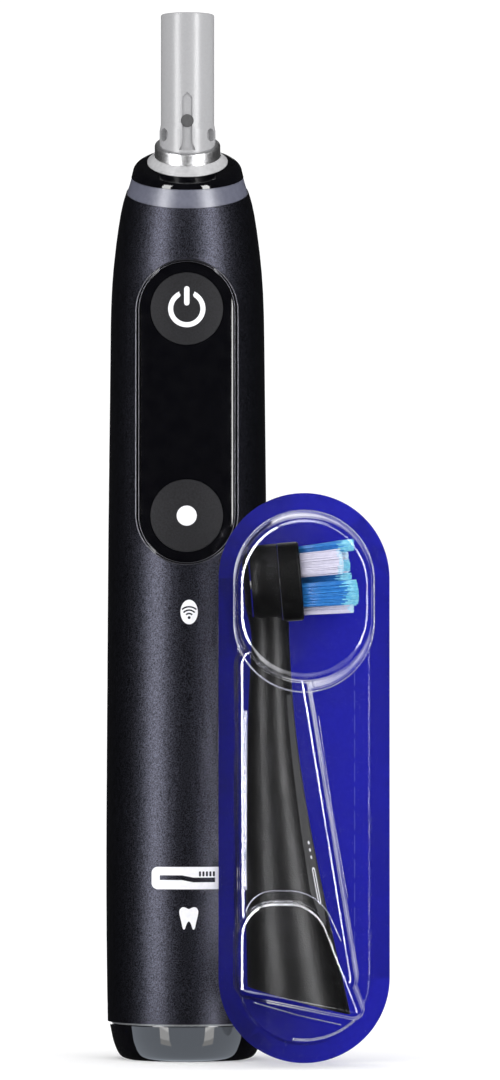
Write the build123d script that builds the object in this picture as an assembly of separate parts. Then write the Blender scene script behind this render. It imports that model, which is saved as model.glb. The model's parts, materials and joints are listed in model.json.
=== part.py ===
from build123d import *
import math
import os

# Electric toothbrush handle with its brush head still sealed in a card-backed blister.
# Millimetres. +Z is up, -Y is the side with the display, and the origin is the centre of the handle's base.
# Each function makes one or a few sub-parts in place, and one STEP file is written for each.

# ---- handle body ------------------------------------------------------------
# Outer outline of the handle as (radius, height), from the base joint to above the collar.
OUTLINE = [
    (14.42, 6.8), (14.62, 20.0), (14.54, 65.0), (14.24, 105.0), (13.99, 127.0), (13.6, 141.0),
    (12.55, 150.4), (11.45, 155.9), (10.58, 158.6), (9.9, 161.2), (8.9, 165.0), (7.8, 169.0),
]
WALL = 1.5
BODY_BOTTOM = OUTLINE[0][1]

# The neck rings are cut by planes that dip towards the display side: (height on the axis, tilt in degrees).
SHELL_TOP = (157.3, 19.0)
RING_TOP = (160.0, 17.0)
COLLAR_TOP = (162.5, 24.3)
SEAT_TOP = (163.6, 23.0)
SEAT_RADIUS = 5.97
SEAT_BORE = 5.15
GASKET_RADIUS = 7.3

POST_RADIUS = 4.85
POST_FOOT_RADIUS = 5.08
POST_STEP_Z = 169.3
POST_BORE = 3.3
POST_TOP = 189.3
POST_FLANGE_Z = 145.5
# The keyway up the post's front: its foot, its pointed top, half its width, and the radius of its floor.
KEY_BOTTOM, KEY_TOP, KEY_HALF, KEY_FLOOR = 164.3, 174.8, 0.9, 4.55
PLUG_RADIUS, PLUG_Z = 1.17, 169.6

# ---- control panel ----------------------------------------------------------
PANEL_Z = 116.5
LENS_WIDTH = 16.6
LENS_LENGTH = 53.8
OPENING_WIDTH = 18.7
OPENING_LENGTH = 55.0
LENS_CURVE = 28.0
LENS_CROWN_Y = -12.85
LENS_LEAN = 0.9
LENS_BACK_Y = -10.4
BEZEL_BACK_Y = -9.0
BUTTON_OFFSET = (LENS_LENGTH - LENS_WIDTH) / 2
BUTTON_RADIUS = 6.5
BUTTON_GAP = 0.1
BOARD_FRONT_Y = -8.2
BOARD_THICKNESS = 0.8

# ---- drive ------------------------------------------------------------------
SHAFT_RADIUS = 1.5
MOTOR_RADIUS = 7.2
MOTOR_BOTTOM = 92.0
MAGNET_TOP = 183.3
ARMATURE = (104.0, 116.0)
PLATE_Z = (94.0, 124.0)
PLATE_THICKNESS = 2.0

# ---- base -------------------------------------------------------------------
SOCKET_RADIUS = 8.0
SOCKET_DEPTH = 3.0
SPIGOT_RADIUS = 12.75
SPIGOT_TOP = 12.0

# ---- blister pack -----------------------------------------------------------
PACK_X = 21.03
CARD_BACK_Y = -14.75
CARD_THICKNESS = 0.5
CARD_WIDTH = 30.6
CARD_HEIGHT = 101.9
CARD_FRONT_Y = CARD_BACK_Y - CARD_THICKNESS
FILM = 0.35
BLISTER_WIDTH = 24.3
BLISTER_BOTTOM = 3.15
BLISTER_TOP = 98.75
PLATEAU_DEPTH = 1.3
PLATEAU_ROUND, DOME_ROUND, CHANNEL_ROUND, POCKET_ROUND = 0.5, 1.9, 1.6, 1.7
DOME_FOOT = (24.8, 66.5, 98.6)
DOME_FRONT = (24.5, 68.2, 97.3)
DOME_DEPTH = 17.2
CHANNEL_DEPTHS = ((66.0, 14.0), (26.0, 17.6))
POCKET_DEPTH = 19.0

# ---- brush head, in its own frame: x along the bristles, z up the neck ------
HEAD_ORIGIN = (13.0, CARD_FRONT_Y - 9.35, 85.4)
HEAD_LEAN = 4.8
# Neck sections from the capsule down: (height, offset towards the bristles, radius).
NECK_SECTIONS = [
    (-2.5, 1.1, 3.95), (-6.0, 1.2, 3.6), (-9.5, 1.15, 3.35), (-14.0, 0.8, 3.55), (-22.0, 0.21, 4.0),
    (-30.0, -0.16, 4.57), (-38.0, -0.32, 5.24), (-46.0, -0.32, 5.98), (-54.0, -0.19, 6.77),
    (-62.0, 0.05, 7.57), (-71.0, 0.4, 8.45), (-80.0, 0.78, 9.28),
]
# The flat band up the neck: its turn from the bristles towards the front, and its (height, depth) sections.
BAND_TURN = 30.0
BAND_SECTIONS = [
    (-17.0, -0.1), (-22.0, 0.13), (-30.0, 0.14), (-38.0, 0.14), (-46.0, 0.14), (-54.0, 0.15), (-62.0, 0.15),
    (-66.0, -0.1),
]
HEAD_CUT_Z = -73.7
HEAD_CUT_TILT = 20.0
SOCKET_TOP = -48.4
HEAD_BORE = 4.95
PIN_RADIUS = 0.75
SLEEVE_RADIUS, SLEEVE_TOP = 6.7, -67.0
SLEEVE_FOOT_BORE, SLEEVE_STEP_Z = 5.2, -68.2
CAPSULE = (-2.75, 3.6)
CAPSULE_RADIUS = 6.95
CARRIER = (3.7, 7.45)
CARRIER_RADIUS = 7.0
CRANK = 3.0
ROD_OFFSET = 1.15
TUFT_TIP = 17.4
WHITE_SHORTER = 1.2
OUTER_TUFTS, INNER_TUFTS = 5.2, 2.3


# ---- helpers ----------------------------------------------------------------
def cylinder(radius, bottom, top):
    return Pos(0, 0, bottom) * Cylinder(radius, top - bottom, align=(Align.CENTER, Align.CENTER, Align.MIN))


def tube(outer, inner, bottom, top):
    return cylinder(outer, bottom, top) - cylinder(inner, bottom - 1, top + 1)


def block(x, y, z):
    """A box from its low and high limits on each axis."""
    size = [high - low for low, high in (x, y, z)]
    return Pos(*[(low + high) / 2 for low, high in (x, y, z)]) * Box(*size)


def along_y(radius, x, z, front, back):
    """A cylinder along Y between two depths."""
    return Pos(x, (front + back) / 2, z) * Rot(90, 0, 0) * Cylinder(radius, back - front)


def along_x(radius, y, z, low, high):
    return Pos((low + high) / 2, y, z) * Rot(0, 90, 0) * Cylinder(radius, high - low)


def cut_plane(plane, rise=0.0):
    height, tilt = plane
    return Pos(0, 0, height + rise) * Rot(tilt, 0, 0)


def above(plane, rise=0.0):
    return cut_plane(plane, rise) * Box(400, 400, 400, align=(Align.CENTER, Align.CENTER, Align.MIN))


def below(plane, rise=0.0):
    return cut_plane(plane, rise) * Box(400, 400, 400, align=(Align.CENTER, Align.CENTER, Align.MAX))


def body(inset=0.0, bottom=BODY_BOTTOM):
    """The handle's outer form, drawn in by inset, as one solid of revolution."""
    curve = Spline(*[(radius - inset, 0, height) for radius, height in OUTLINE])
    start, end = curve @ 0, curve @ 1
    wire = curve + Polyline(end, (0, 0, end.Z), (0, 0, bottom), (start.X, 0, bottom))
    if start.Z - bottom > 0.01:
        wire += Line((start.X, 0, bottom), start)
    return revolve(make_face(wire), Axis.Z)


def stadium(width, length, z, front, back):
    """An upright slot shape, extruded along Y between two depths."""
    slot = Plane(origin=(0, back, z), x_dir=(0, 0, 1), z_dir=(0, -1, 0)) * SlotOverall(length, width)
    return extrude(slot, back - front)


def lens_surface(rise=0.0):
    """Everything behind the lens's crowned front face, or behind a face proud of it by rise."""
    radius = LENS_CURVE + rise
    middle = LENS_CROWN_Y + LENS_CURVE
    return Pos(0, middle, PANEL_Z) * Rot(-LENS_LEAN, 0, 0) * Cylinder(radius, 90)


def coil_spring(radius, wire, bottom, top, turns):
    height = top - bottom - 2 * wire
    path = Helix(height / turns, height, radius, center=(0, 0, bottom + wire))
    profile = Plane(origin=path @ 0, z_dir=path % 0) * Circle(wire / 2)
    return sweep(profile, path=path)


# ---- handle: casing ---------------------------------------------------------
def handle_shell():
    shell = body() & below(SHELL_TOP)
    shell -= body(WALL, bottom=BODY_BOTTOM - 1)
    shell -= stadium(OPENING_WIDTH, OPENING_LENGTH, PANEL_Z, -20, -5)
    return shell


def light_ring():
    ring = body(0.15) & above(SHELL_TOP) & below(RING_TOP)
    return ring - cylinder(6.6, 140, 180)


def neck_collar():
    collar = body(0.05) & above(RING_TOP) & below(COLLAR_TOP)
    rim = collar.edges().filter_by(GeomType.LINE, reverse=True).sort_by(Axis.Z)[-1]
    collar = fillet(rim, 1.5)
    collar -= cylinder(SEAT_BORE, 140, 180)
    collar -= cylinder(GASKET_RADIUS + 0.05, 140, 180) & above(COLLAR_TOP, -0.5)
    collar -= cylinder(SEAT_RADIUS + 0.05, 140, 180) & above(COLLAR_TOP, -0.6)
    return collar


def neck_gasket():
    """The pale gasket, which slopes up from the collar to the steel ring."""
    def level(radius, plane, rise):
        return cut_plane(plane, rise) * Ellipse(radius, radius / math.cos(math.radians(plane[1])))

    bore = cylinder(SEAT_RADIUS + 0.05, 140, 180)
    foot = (cylinder(GASKET_RADIUS, 150, 180) & above(COLLAR_TOP, -0.5) & below(COLLAR_TOP, 0.1)) - bore
    slope = loft([level(GASKET_RADIUS - 0.15, COLLAR_TOP, 0.1), level(SEAT_RADIUS + 0.25, SEAT_TOP, 0.15)])
    return foot + (slope - bore)


def seat_ring():
    """The steel ring that the brush head's end seats on."""
    ring = cylinder(SEAT_RADIUS, 150, 180) & above(COLLAR_TOP, -0.6) & below(SEAT_TOP, 2.25)
    rim = ring.edges().filter_by(GeomType.LINE, reverse=True).sort_by(Axis.Z)[-1]
    return fillet(rim, 0.45) - cylinder(SEAT_BORE, 140, 180)


def neck_post():
    """The post that the brush head pushes onto, with a wider foot, a keyway and the bore for the drive."""
    post = cylinder(POST_RADIUS, POST_STEP_Z, POST_TOP)
    post = fillet(post.edges().sort_by(Axis.Z)[-1], 0.35)
    post += cylinder(POST_FOOT_RADIUS, POST_FLANGE_Z, POST_STEP_Z - 1.2)
    post += Pos(0, 0, POST_STEP_Z - 0.6) * Cone(POST_FOOT_RADIUS, POST_RADIUS, 1.2)
    key = make_face(Polyline(
        (-1.5, KEY_BOTTOM), (1.5, KEY_BOTTOM), (KEY_HALF, KEY_BOTTOM + 1.4), (KEY_HALF, KEY_TOP - 0.9),
        (0, KEY_TOP), (-KEY_HALF, KEY_TOP - 0.9), (-KEY_HALF, KEY_BOTTOM + 1.4), (-1.5, KEY_BOTTOM)))
    key = extrude(Plane(origin=(0, -4, 0), x_dir=(1, 0, 0), z_dir=(0, -1, 0)) * key, 2)
    post -= key - cylinder(KEY_FLOOR, 150, 180)
    post += cylinder(10.5, POST_FLANGE_Z, POST_FLANGE_Z + 2)
    post -= cylinder(POST_BORE, 158, POST_TOP + 1)
    post -= cylinder(1.8, POST_FLANGE_Z - 1, 160)
    post -= along_y(PLUG_RADIUS, 0, PLUG_Z, -6, -2)
    for side in (-1, 1):
        dimple = Pos(0, 0, 167.2) * Rot(0, 0, side * 58 - 90) * Pos(POST_FOOT_RADIUS, 0, 0)
        post -= dimple * Rot(0, 90, 0) * Cylinder(1.2, 2.4)
    return post


def post_plug():
    return along_y(PLUG_RADIUS, 0, PLUG_Z, -4.7, -3.2)


def base_cap():
    """The glossy end cap: a turned-in skirt, a spigot that plugs the shell, and the charging socket."""
    outline = (
        Line((0, 0, 0), (11.2, 0, 0))
        + Spline((11.2, 0, 0), (12.5, 0, 1.05), (13.15, 0, 2.5), (14.05, 0, 6.3),
                 tangents=[(1, 0, 0.25), (0.2, 0, 1)])
        + Polyline((14.05, 0, 6.3), (13.3, 0, 6.3), (13.3, 0, BODY_BOTTOM), (SPIGOT_RADIUS, 0, BODY_BOTTOM),
                   (SPIGOT_RADIUS, 0, SPIGOT_TOP), (0, 0, SPIGOT_TOP), (0, 0, 0))
    )
    cap = revolve(make_face(outline), Axis.Z)
    cap -= cylinder(SOCKET_RADIUS, -1, SOCKET_DEPTH)
    cap -= cylinder(10.9, SOCKET_DEPTH + 1.4, SPIGOT_TOP + 1)
    cap -= tube(SPIGOT_RADIUS + 1, 11.78, 8.95, 10.05)
    return cap


def base_seal():
    return Pos(0, 0, 9.5) * Torus(12.3, 0.5)


def charge_coil():
    return tube(9.5, 3.3, 5.0, 8.0)


def ferrite_core():
    return cylinder(10, 8.2, 9.4) + cylinder(3.0, 4.6, 8.3)


# ---- handle: control panel --------------------------------------------------
def button_heights():
    return PANEL_Z + BUTTON_OFFSET, PANEL_Z - BUTTON_OFFSET


def panel_bezel():
    outer = stadium(OPENING_WIDTH - 0.2, OPENING_LENGTH - 0.2, PANEL_Z, -16, BEZEL_BACK_Y)
    bezel = outer & body(0.2) & lens_surface(0.35)
    bezel -= stadium(LENS_WIDTH + 0.1, LENS_LENGTH + 0.1, PANEL_Z, -20, LENS_BACK_Y)
    bezel -= stadium(LENS_WIDTH - 1.8, LENS_LENGTH - 1.8, PANEL_Z, -20, BEZEL_BACK_Y + 1)
    return bezel


def panel_lens():
    lens = stadium(LENS_WIDTH, LENS_LENGTH, PANEL_Z, -16, LENS_BACK_Y) & lens_surface()
    for z in button_heights():
        lens -= along_y(BUTTON_RADIUS + BUTTON_GAP, 0, z, -20, -5)
    return lens


def display_module():
    return block((-6.2, 6.2), (LENS_BACK_Y + 0.05, -9.3), (PANEL_Z - 11, PANEL_Z + 11))


def button_blank(z):
    cap = along_y(BUTTON_RADIUS, 0, z, -16, -10.3) & lens_surface(0.05)
    flange = along_y(BUTTON_RADIUS + 0.6, 0, z, -10.3, -9.8)
    stem = along_y(1.5, 0, z, -9.85, -9.25)
    return cap + flange + stem


def power_symbol(z):
    """The standby sign: an arc open at the top, and a short bar in its gap."""
    arc = along_y(3.35, 0, z, -16, -12) - along_y(2.45, 0, z, -17, -11)
    notch = block((-1.35, 1.35), (-17, -11), (z, z + 5))
    ends = [along_y(0.45, side * 1.6, z + 2.43, -16, -12) for side in (-1, 1)]
    bar = block((-0.48, 0.48), (-16, -12), (z + 1.05, z + 3.55))
    tips = [along_y(0.48, 0, height, -16, -12) for height in (z + 1.05, z + 3.55)]
    sign = (arc - notch) + ends[0] + ends[1] + bar + tips[0] + tips[1]
    return sign & lens_surface(0.06)


def mode_symbol(z):
    return along_y(1.8, 0, z, -16, -12) & lens_surface(0.06)


def buttons():
    """Both push buttons, each with its light-coloured inlay as a separate solid."""
    power_z, mode_z = button_heights()
    sign, dot = power_symbol(power_z), mode_symbol(mode_z)
    return {
        "power_button": button_blank(power_z) - sign,
        "power_symbol": sign,
        "mode_button": button_blank(mode_z) - dot,
        "mode_symbol": dot,
    }


def circuit_board():
    board = block((-7.3, 7.3), (BOARD_FRONT_Y, BOARD_FRONT_Y + BOARD_THICKNESS), (12.9, 142))
    for x, z in screw_places():
        board -= along_y(0.6, x, z, -9, -7)
    return board


def board_components():
    """Chips, a connector and a row of small parts on the front of the board."""
    chips = [((-3.5, 3.5), (58, 65), 1.0), ((-5.5, -0.5), (44, 49), 0.9), ((1.5, 5.5), (42, 50), 1.4),
             ((-4.5, 4.5), (78.5, 82.5), 1.6)]
    group = [block(x, (BOARD_FRONT_Y - height, BOARD_FRONT_Y), z) for x, z, height in chips]
    for row in range(6):
        z = 24 + 2.4 * row
        group.append(block((-4, -2.4), (BOARD_FRONT_Y - 0.6, BOARD_FRONT_Y), (z, z + 0.9)))
        group.append(block((1.6, 3.2), (BOARD_FRONT_Y - 0.6, BOARD_FRONT_Y), (z, z + 0.9)))
    return Compound(group)


def tact_switches():
    group = []
    for z in button_heights():
        case = block((-2.2, 2.2), (BOARD_FRONT_Y - 0.35, BOARD_FRONT_Y), (z - 2.2, z + 2.2))
        group.append(case + along_y(1.1, 0, z, BOARD_FRONT_Y - 0.55, BOARD_FRONT_Y - 0.3))
    return Compound(group)


# ---- handle: chassis, battery and motor --------------------------------------
def screw_places():
    return [(x, z) for x in (-4.5, 4.5) for z in (14.5, 73.5)]


def chassis():
    """A half-round tray with two bulkheads that carry the circuit board."""
    tray = tube(11.9, 10.9, 13, 138) & block((-15, 15), (0.5, 15), (0, 150))
    for z in (14.5, 73.5):
        front = BOARD_FRONT_Y + BOARD_THICKNESS
        tray += cylinder(11.0, z - 1.5, z + 1.5) & block((-15, 15), (front, 15), (0, 150))
    for x, z in screw_places():
        tray -= along_y(0.55, x, z, -9, -3.5)
    return tray


def board_screws():
    group = []
    for x, z in screw_places():
        head = along_y(1.1, x, z, BOARD_FRONT_Y - 0.6, BOARD_FRONT_Y) - block(
            (x - 0.8, x + 0.8), (-10, BOARD_FRONT_Y - 0.35), (z - 0.15, z + 0.15))
        group.append(head + along_y(0.55, x, z, BOARD_FRONT_Y, -4))
    return Compound(group)


def battery_cell():
    cell = Pos(0, 3.4, 0) * cylinder(7.0, 18, 67.5)
    cell = fillet(cell.edges(), 0.4)
    return cell + Pos(0, 3.4, 0) * cylinder(2.6, 67, 68.5)


def battery_tabs():
    top = block((-2, 2), (-5.5, 5), (68.5, 68.8)) + block((-2, 2), (-7.3, -5.2), (68.5, 68.8))
    bottom = block((-2, 2), (-7.3, 5), (17.6, 17.95))
    return Compound([top, bottom])


def motor_housing():
    return tube(MOTOR_RADIUS, 6.4, MOTOR_BOTTOM, POST_FLANGE_Z)


def bearing_plates():
    return Compound([tube(6.4, SHAFT_RADIUS + 0.05, z, z + PLATE_THICKNESS) for z in PLATE_Z])


def stator_coil():
    return tube(6.3, 4.8, 103, 117)


def drive_springs():
    """The two resonance springs, one each side of the armature."""
    low = coil_spring(2.9, 0.5, PLATE_Z[0] + PLATE_THICKNESS, ARMATURE[0] - 2, 4)
    high = coil_spring(2.9, 0.5, ARMATURE[1] + 2, PLATE_Z[1], 4)
    return low, high


def shaft_seal():
    ring = tube(POST_BORE - 0.02, SHAFT_RADIUS + 0.08, 162, 164.4)
    return ring - tube(2.6, 2.1, 163.2, 165)


def ring_board():
    return tube(7.9, 5.3, 140, 175) & above(SHELL_TOP, -1.7) & below(SHELL_TOP, -0.9)


def ring_lamps():
    """Six small lamps under the light ring."""
    group = []
    for index in range(6):
        lamp = Rot(0, 0, 30 + 60 * index) * block((6.6, 7.7), (-0.7, 0.7), (140, 175))
        group.append(lamp & above(SHELL_TOP, -0.9) & below(SHELL_TOP, -0.1))
    return Compound(group)


def drive_shaft():
    return cylinder(SHAFT_RADIUS, 92.5, MAGNET_TOP - 4)


def armature_magnet():
    return tube(4.2, SHAFT_RADIUS, *ARMATURE)


def armature_poles():
    low, high = ARMATURE
    return Compound([tube(4.3, SHAFT_RADIUS, low - 2, low), tube(4.3, SHAFT_RADIUS, high, high + 2)])


def drive_magnet():
    cap = cylinder(2.9, MAGNET_TOP - 6, MAGNET_TOP)
    cap = fillet(cap.edges().sort_by(Axis.Z)[-1], 0.4)
    return cap - cylinder(SHAFT_RADIUS, MAGNET_TOP - 7, MAGNET_TOP - 4)


# ---- brush head, in its own frame --------------------------------------------
HEAD_PLACE = Pos(*HEAD_ORIGIN) * Rot(0, -HEAD_LEAN, 0)
# The neck's end is cut to match the collar: it is longest on the bristle side.
HEAD_CUT = Pos(0, 0, HEAD_CUT_Z) * Rot(0, HEAD_CUT_TILT, 0)


def neck_reach(z):
    """How far the neck reaches from its axis at a height, towards the flat band."""
    sections = sorted(NECK_SECTIONS)
    for (low, low_x, low_r), (high, high_x, high_r) in zip(sections, sections[1:]):
        if low <= z <= high:
            part = (z - low) / (high - low)
            shift = low_x + part * (high_x - low_x)
            return low_r + part * (high_r - low_r) + shift * math.cos(math.radians(BAND_TURN))


def band_cutter():
    """What is taken off the neck to leave the flat band."""
    faces = []
    for z, depth in BAND_SECTIONS:
        outside = Pos(neck_reach(z) - depth + 2, 0, 0) * Rectangle(4, 10)
        faces.append(Plane(origin=(0, 0, z)) * Rot(0, 0, -BAND_TURN) * outside)
    return loft(faces, ruled=True)


def head_body():
    """The neck, a tapered tube, and the round capsule that the carrier turns in."""
    neck = loft([Plane(origin=(offset_x, 0, z)) * Circle(radius) for z, offset_x, radius in NECK_SECTIONS])
    neck -= band_cutter()
    neck &= HEAD_CUT * Box(60, 60, 200, align=(Align.CENTER, Align.CENTER, Align.MIN))
    neck -= along_x(CARRIER_RADIUS + 0.15, 0, 0, CAPSULE[1] - 0.05, 9)
    capsule = along_x(CAPSULE_RADIUS, 0, 0, *CAPSULE)
    capsule = fillet(capsule.edges().sort_by(Axis.X)[0], 3.5)
    solid = neck + capsule
    solid -= along_x(6.2, 0, 0, CAPSULE[0] + 1.1, CAPSULE[1] + 1)
    solid -= along_x(PIN_RADIUS, 0, 0, CAPSULE[0] + 0.3, 0)
    solid -= Pos(ROD_OFFSET, 0, 0) * cylinder(1.9, SOCKET_TOP - 1, -4)
    solid -= cylinder(HEAD_BORE, -90, SOCKET_TOP)
    solid -= cylinder(SLEEVE_RADIUS, -90, SLEEVE_TOP)
    return solid


def head_sleeve():
    """The light inner sleeve that grips the handle's post, with a slot for the post's key."""
    sleeve = tube(SLEEVE_RADIUS, HEAD_BORE, -90, SLEEVE_TOP) - cylinder(SLEEVE_FOOT_BORE, -90, SLEEVE_STEP_Z)
    sleeve &= HEAD_CUT * Pos(0, 0, 0.4) * Box(60, 60, 200, align=(Align.CENTER, Align.CENTER, Align.MIN))
    return sleeve - block((4.5, 5.6), (-1.1, 1.1), (-90, SLEEVE_TOP + 1))


def carrier_pin():
    return along_x(PIN_RADIUS, 0, 0, CAPSULE[0] + 0.3, 6.0)


def bristle_carrier():
    disc = along_x(CARRIER_RADIUS, 0, 0, *CARRIER)
    disc = fillet(disc.edges().sort_by(Axis.X)[-1], 0.5)
    disc -= along_x(PIN_RADIUS + 0.05, 0, 0, CARRIER[0] - 1, 6.1)
    slot = block((CARRIER[0] - 1, 5.5), (CRANK - 0.7, CRANK + 0.8), (-0.6, 0.6))
    return disc - slot


def link_rod():
    """The rod up the neck, with a crank peg that swings the carrier."""
    rod = Pos(ROD_OFFSET, 0, 0) * cylinder(1.1, -51.1, -3.2)
    reach = (ROD_OFFSET - 0.8, ROD_OFFSET + 0.8)
    rod += block(reach, (-1.1, CRANK + 0.5), (-3.8, -2.9))
    rod += block(reach, (CRANK - 0.5, CRANK + 0.5), (-3.8, 0.5))
    return rod + along_x(0.5, CRANK, 0, ROD_OFFSET, 5.1)


def rod_coupler():
    """The disc that the drive magnet pulls, with a socket for the rod's foot."""
    return cylinder(2.8, -54.4, -50.9) - Pos(ROD_OFFSET, 0, 0) * cylinder(1.1, -51.1, -50)


def tuft(radius, turn, width, depth, tip, flare):
    """One plain tuft: a tapered block standing on the carrier's face."""
    foot = Plane(origin=(CARRIER[1] - 1.2, 0, 0), x_dir=(0, 1, 0), z_dir=(1, 0, 0))
    height = tip - CARRIER[1] + 1.2
    profile = Rectangle(depth, width)
    base = foot * (Pos(radius, 0) * profile)
    head = foot.offset(height) * (Pos(radius + flare, 0) * profile)
    return Rot(turn, 0, 0) * loft([base, head])


def tufts():
    """The blue and the white tufts: six wide ones by turns round the edge, and four small ones inside."""
    blue, white = [], []
    for index in range(3):
        turn = 120 * index
        blue.append(tuft(OUTER_TUFTS, turn + 90, 4.4, 1.7, TUFT_TIP, 0.4))
        white.append(tuft(OUTER_TUFTS, turn + 30, 4.4, 1.7, TUFT_TIP - WHITE_SHORTER, 0.2))
        blue.append(tuft(INNER_TUFTS, turn + 60, 1.5, 1.5, TUFT_TIP - 1.2, 0.1))
    white.append(tuft(0, 0, 1.4, 1.4, TUFT_TIP - WHITE_SHORTER, 0))
    return Compound(blue), Compound(white)


def bore_carrier_for_tufts(disc, groups):
    for group in groups:
        for solid in group.solids():
            disc -= solid
    return disc


# ---- blister pack ------------------------------------------------------------
def upright_slot(width, bottom, top):
    slot = SlotOverall(top - bottom, width)
    return Plane(origin=(PACK_X, CARD_FRONT_Y, (top + bottom) / 2), x_dir=(0, 0, 1), z_dir=(0, -1, 0)) * slot


def backing_card():
    return extrude(upright_slot(CARD_WIDTH, 0, CARD_HEIGHT), -CARD_THICKNESS)


def front_face(pocket):
    return pocket.faces().filter_by(lambda face: face.normal_at().Y < -0.9).sort_by(Axis.Y)[0]


def pressed(face, depth, draft, rounding):
    """A pocket pressed forwards from the card's plane, drawn in by draft and rounded at its front."""
    pocket = extrude(face, depth, taper=draft)
    return fillet(front_face(pocket).edges(), rounding)


def pack_outline(corners, inset):
    """A closed outline on the card's front from (x, z, radius) corners, drawn in by inset."""
    face = make_face(Polyline(*[(x, z) for x, z, _ in corners], close=True))
    for x, z, radius in corners:
        face = fillet(face.vertices().sort_by_distance((x, z, 0))[0], radius)
    if inset:
        face = offset(face, -inset)
    return Plane(origin=(0, CARD_FRONT_Y, 0), x_dir=(1, 0, 0), z_dir=(0, -1, 0)) * face


def dome(inset):
    """The round window over the bristles, from its wide foot to its smaller front."""
    sizes = (DOME_FOOT, DOME_FRONT)
    foot, front = [(width - 2 * inset, low + inset, high - inset) for width, low, high in sizes]
    form = loft([upright_slot(*foot), Pos(0, inset - DOME_DEPTH, 0) * upright_slot(*front)])
    return fillet(front_face(form).edges(), DOME_ROUND - inset)


def channel(inset):
    """The long pocket over the neck, whose front slopes forwards towards the neck's wide end."""
    outline = pack_outline([(8.4, 75, 4.0), (21.1, 75, 4.0), (31.7, 11.0, 4.0), (8.4, 14.5, 4.0)], inset)
    form = extrude(outline, 25, taper=2.5)
    (high, shallow), (low, deep) = CHANNEL_DEPTHS
    slope = math.degrees(math.atan2(deep - shallow, high - low))
    front = Pos(PACK_X, CARD_FRONT_Y - shallow + inset, high) * Rot(-slope, 0, 0)
    form &= front * Box(100, 60, 200, align=(Align.CENTER, Align.MIN, Align.CENTER))
    return fillet(front_face(form).edges(), CHANNEL_ROUND - inset)


def blister_form(inset):
    """The blister's raised form, as one solid, drawn in by the film's thickness for its inside."""
    plateau = upright_slot(BLISTER_WIDTH - 2 * inset, BLISTER_BOTTOM + inset, BLISTER_TOP - inset)
    plateau = pressed(plateau, PLATEAU_DEPTH - inset, 12, PLATEAU_ROUND - inset)
    pocket = pack_outline([(8.3, 12.2, 2.8), (8.3, 30.3, 7.2), (24.2, 30.3, 8.5), (33.2, 7.2, 2.2)], inset)
    pocket = pressed(pocket, POCKET_DEPTH - inset, 2, POCKET_ROUND - inset)
    return plateau + dome(inset) + channel(inset) + pocket


def blister():
    """The clear film: a flat rim over the whole card and the raised form, open at the back."""
    flange = extrude(upright_slot(CARD_WIDTH, 0, CARD_HEIGHT), FILM)
    return (flange + blister_form(0)) - blister_form(FILM)


# ---- write -------------------------------------------------------------------
def main():
    blue, white = tufts()
    low_spring, high_spring = drive_springs()
    head = {
        "head_body": head_body(),
        "head_sleeve": head_sleeve(),
        "carrier_pin": carrier_pin(),
        "bristle_carrier": bore_carrier_for_tufts(bristle_carrier(), (blue, white)),
        "link_rod": link_rod(),
        "rod_coupler": rod_coupler(),
        "blue_tufts": blue,
        "white_tufts": white,
    }
    nodes = {
        "handle_shell": handle_shell(),
        "light_ring": light_ring(),
        "neck_collar": neck_collar(),
        "neck_gasket": neck_gasket(),
        "seat_ring": seat_ring(),
        "neck_post": neck_post(),
        "post_plug": post_plug(),
        "base_cap": base_cap(),
        "base_seal": base_seal(),
        "charge_coil": charge_coil(),
        "ferrite_core": ferrite_core(),
        "panel_bezel": panel_bezel(),
        "panel_lens": panel_lens(),
        "display_module": display_module(),
        "circuit_board": circuit_board(),
        "board_components": board_components(),
        "tact_switches": tact_switches(),
        "board_screws": board_screws(),
        "chassis": chassis(),
        "battery_cell": battery_cell(),
        "battery_tabs": battery_tabs(),
        "motor_housing": motor_housing(),
        "bearing_plates": bearing_plates(),
        "stator_coil": stator_coil(),
        "lower_spring": low_spring,
        "upper_spring": high_spring,
        "shaft_seal": shaft_seal(),
        "ring_board": ring_board(),
        "ring_lamps": ring_lamps(),
        "drive_shaft": drive_shaft(),
        "armature_magnet": armature_magnet(),
        "armature_poles": armature_poles(),
        "drive_magnet": drive_magnet(),
        "backing_card": backing_card(),
        "blister": blister(),
    }
    nodes.update(buttons())
    nodes.update({name: HEAD_PLACE * shape for name, shape in head.items()})
    os.makedirs("parts", exist_ok=True)
    for name, shape in nodes.items():
        export_step(shape, f"parts/{name}.step")


main()
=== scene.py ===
import json
import math
import random

import bpy
import bmesh
from mathutils import Matrix, Vector
from mathutils.bvhtree import BVHTree


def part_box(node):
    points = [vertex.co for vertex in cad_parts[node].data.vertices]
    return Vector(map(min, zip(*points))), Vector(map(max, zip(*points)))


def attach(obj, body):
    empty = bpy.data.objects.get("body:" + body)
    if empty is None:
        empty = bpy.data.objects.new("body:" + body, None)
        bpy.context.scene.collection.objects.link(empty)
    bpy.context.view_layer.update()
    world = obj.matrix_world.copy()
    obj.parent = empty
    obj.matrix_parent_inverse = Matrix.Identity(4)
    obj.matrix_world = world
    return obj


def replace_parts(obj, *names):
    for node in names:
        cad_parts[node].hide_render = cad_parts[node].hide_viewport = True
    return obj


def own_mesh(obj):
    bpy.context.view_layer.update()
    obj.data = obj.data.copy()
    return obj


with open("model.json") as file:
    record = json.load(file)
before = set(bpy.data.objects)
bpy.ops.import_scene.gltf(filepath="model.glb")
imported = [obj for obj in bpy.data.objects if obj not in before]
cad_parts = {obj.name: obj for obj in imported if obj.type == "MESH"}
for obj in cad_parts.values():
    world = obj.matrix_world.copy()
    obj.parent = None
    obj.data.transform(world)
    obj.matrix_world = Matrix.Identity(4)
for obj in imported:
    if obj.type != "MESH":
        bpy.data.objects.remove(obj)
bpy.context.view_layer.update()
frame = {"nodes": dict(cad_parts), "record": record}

MM = 0.001
NODES = frame["nodes"]


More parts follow.
